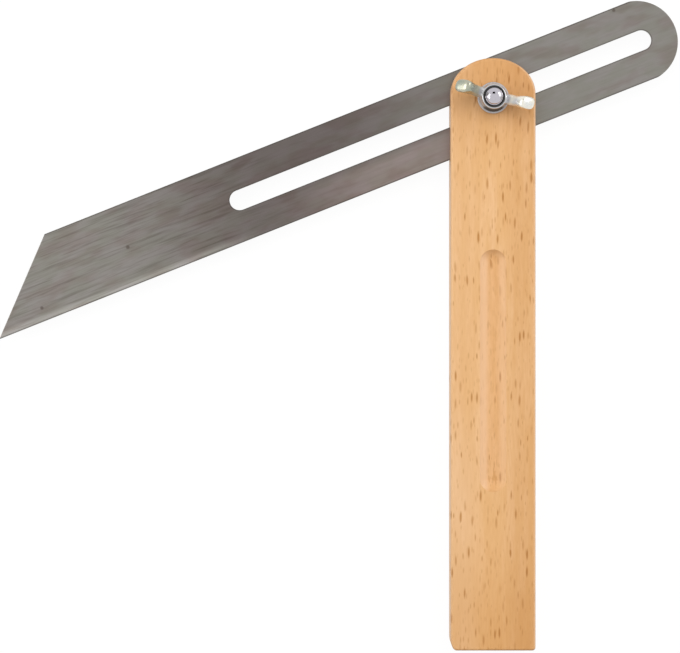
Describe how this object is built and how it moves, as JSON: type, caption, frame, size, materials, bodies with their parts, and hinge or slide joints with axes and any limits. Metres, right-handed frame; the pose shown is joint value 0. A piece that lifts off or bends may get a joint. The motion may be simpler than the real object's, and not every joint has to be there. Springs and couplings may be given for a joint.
{
  "type": "sliding bevel",
  "caption": "Joiner's sliding bevel: slotted steel blade that swings and slides in a kerfed beech stock, clamped by a coach bolt and wing nut.",
  "frame": {"origin": "centre of the stock's flat back face, on which the tool lies", "axes": "+Z out of the stock's front face, through the bolt and the wing nut; +Y along the stock from its butt to its rounded pivot end; +X across the stock, towards the blade's round end"},
  "size_m": [0.2282, 0.218, 0.0326],
  "materials": {
    "beech": "clear-lacquered beech with short brown flecks along the grain",
    "ground_steel": "surface-ground along the blade, oiled and a little dark",
    "bright_zinc": "cold-forged, bright zinc-plated",
    "polished_steel": "bright-plated"
  },
  "bodies": {
    "stock": {"stock": "beech"},
    "bolt": {"clamp_bolt": "polished_steel"},
    "blade": {"blade": "ground_steel"},
    "washer": {"washer": "bright_zinc"},
    "nut": {"wing_nut": "bright_zinc"}
  },
  "joints": [
    {"name": "blade_swing", "type": "hinge", "parent": "stock", "child": "bolt", "pos_m": [0, 0.0856, 0.009], "axis": [0, 0, 1], "range_deg": [-281, 58]},
    {"name": "blade_slide", "type": "slide", "parent": "bolt", "child": "blade", "axis": [0.9291, 0.3697, 0], "range_m": [-0.0527, 0.0901]},
    {"name": "washer_lift", "type": "slide", "parent": "bolt", "child": "washer", "axis": [0, 0, 1], "range_m": [0, 0.00201]},
    {"name": "nut_turn", "type": "hinge", "parent": "washer", "child": "nut", "pos_m": [0, 0.0856, 0.0215], "axis": [0, 0, 1], "range_deg": [0, 720]}
  ],
  "couplings": [
    {"joint": "washer_lift", "follows": "nut_turn", "m_per_rad": 0.00015915}
  ]
}
